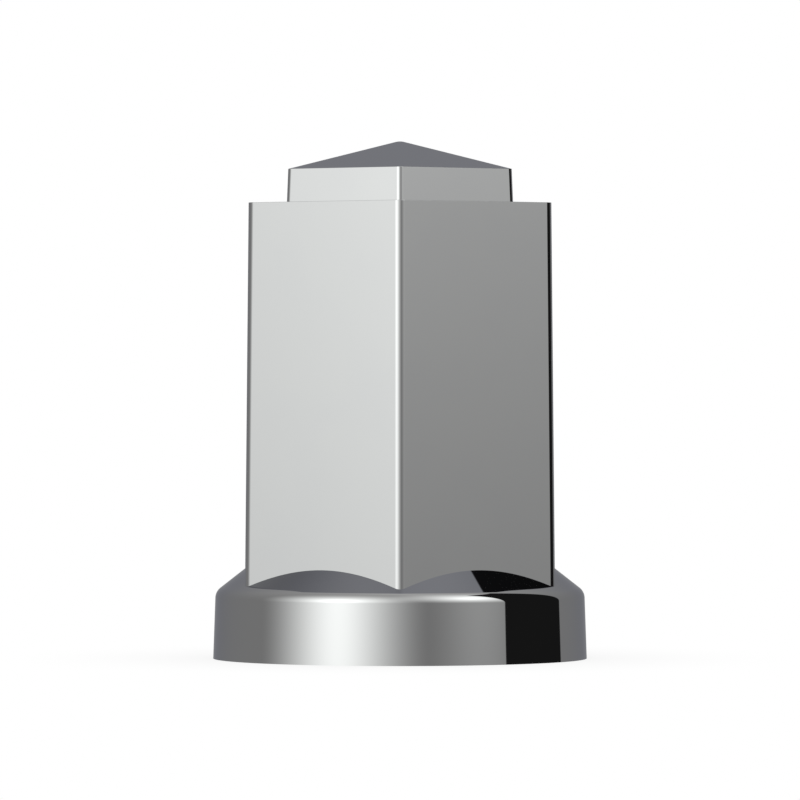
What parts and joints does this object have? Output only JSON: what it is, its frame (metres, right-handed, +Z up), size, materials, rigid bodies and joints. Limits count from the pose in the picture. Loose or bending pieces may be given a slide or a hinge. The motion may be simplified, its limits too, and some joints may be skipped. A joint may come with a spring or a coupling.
{
  "type": "wheel nut cover cap",
  "caption": "Chrome-plated push-on cover for a wheel nut: a tall drafted hexagon with a stepped crown and low pyramid roof on a round conical flange, hollow and open below.",
  "frame": {"origin": "centre of the flange's rim, in the plane of the rim", "axes": "+Z up along the cap's axis towards its roof, X through the middle of two opposite flats, Y through two opposite corners"},
  "size_m": [0.0508, 0.0508, 0.0703],
  "materials": {
    "chrome_plating": "polished"
  },
  "bodies": {
    "root": {"nut_cover": "chrome_plating"}
  },
  "joints": []
}
